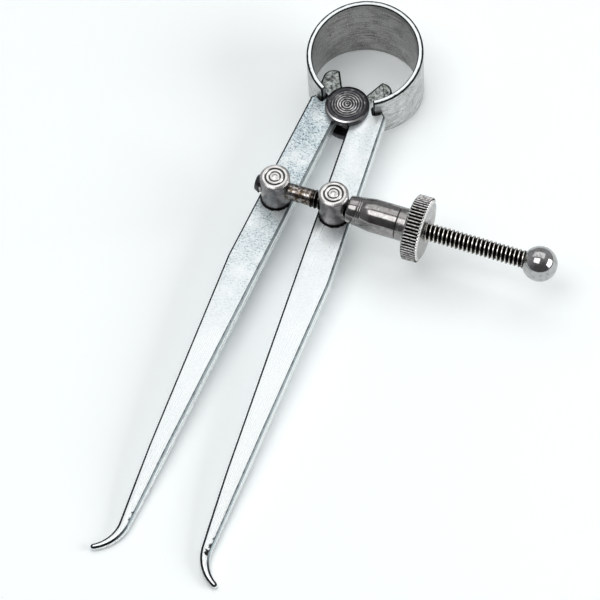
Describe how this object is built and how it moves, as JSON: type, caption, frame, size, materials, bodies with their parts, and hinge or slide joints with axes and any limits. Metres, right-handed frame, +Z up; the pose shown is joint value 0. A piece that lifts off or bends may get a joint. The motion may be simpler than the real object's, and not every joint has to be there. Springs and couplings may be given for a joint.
{
  "type": "inside spring caliper",
  "caption": "Inside caliper with outward-curved feet on slotted legs, sprung open by a flat bow spring on a spool pivot and set by a knurled thumb nut on a cross screw between swivel posts",
  "frame": {"origin": "on the pivot axis of the two legs, at the flat underside of the fulcrum stud", "axes": "+X along the cross screw from the left post to the ball, +Y from the feet to the bow spring, +Z up through the flat of the legs"},
  "size_m": [0.0598, 0.1204, 0.0185],
  "materials": {
    "spring_steel": "satin",
    "plated_steel": "bright satin plating",
    "dark_steel": "turned, dark",
    "turned_steel": "turned",
    "screw_steel": "oiled",
    "polished_ball": "polished"
  },
  "bodies": {
    "left_arm": {"left_leg": "plated_steel"},
    "right_arm": {"right_leg": "plated_steel"},
    "pivot": {"fulcrum_stud": "dark_steel", "bow_spring": "spring_steel"},
    "screw": {"left_post": "turned_steel", "adjusting_screw": "screw_steel", "ball_end": "polished_ball"},
    "right_swivel": {"right_post": "turned_steel"},
    "sleeve": {"tapered_sleeve": "dark_steel"},
    "nut": {"thumb_nut": "dark_steel"}
  },
  "joints": [
    {"name": "leg_open", "type": "hinge", "parent": "left_arm", "child": "right_arm", "pos_m": [0, 0, 0], "axis": [0, 0, 1], "range_deg": [-7.5, 47], "deforming": ["bow_spring"]},
    {"name": "pivot_roll", "type": "hinge", "parent": "left_arm", "child": "pivot", "pos_m": [0, 0, 0], "axis": [0, 0, 1], "range_deg": [-3.85, 23.6]},
    {"name": "left_post_swivel", "type": "hinge", "parent": "left_arm", "child": "screw", "pos_m": [-0.00566, -0.02257, 0], "axis": [0, 0, 1], "range_deg": [-3.85, 23.6]},
    {"name": "right_post_swivel", "type": "hinge", "parent": "right_arm", "child": "right_swivel", "pos_m": [0.00566, -0.02257, 0], "axis": [0, 0, 1], "range_deg": [-23.6, 3.85]},
    {"name": "sleeve_slide", "type": "slide", "parent": "screw", "child": "sleeve", "axis": [1, 0, 0], "range_m": [-0.00297, 0.01806]},
    {"name": "nut_spin", "type": "hinge", "parent": "sleeve", "child": "nut", "pos_m": [0.01814, -0.02257, 0.00803], "axis": [1, 0, 0], "range_deg": [-1300, 8146]}
  ],
  "couplings": [
    {"joint": "pivot_roll", "follows": "leg_open", "ratio": 0.5},
    {"joint": "left_post_swivel", "follows": "leg_open", "ratio": 0.5},
    {"joint": "right_post_swivel", "follows": "leg_open", "ratio": -0.5},
    {"joint": "sleeve_slide", "follows": "leg_open", "m_per_rad": 0.0219},
    {"joint": "nut_spin", "follows": "leg_open", "ratio": 173.3}
  ]
}
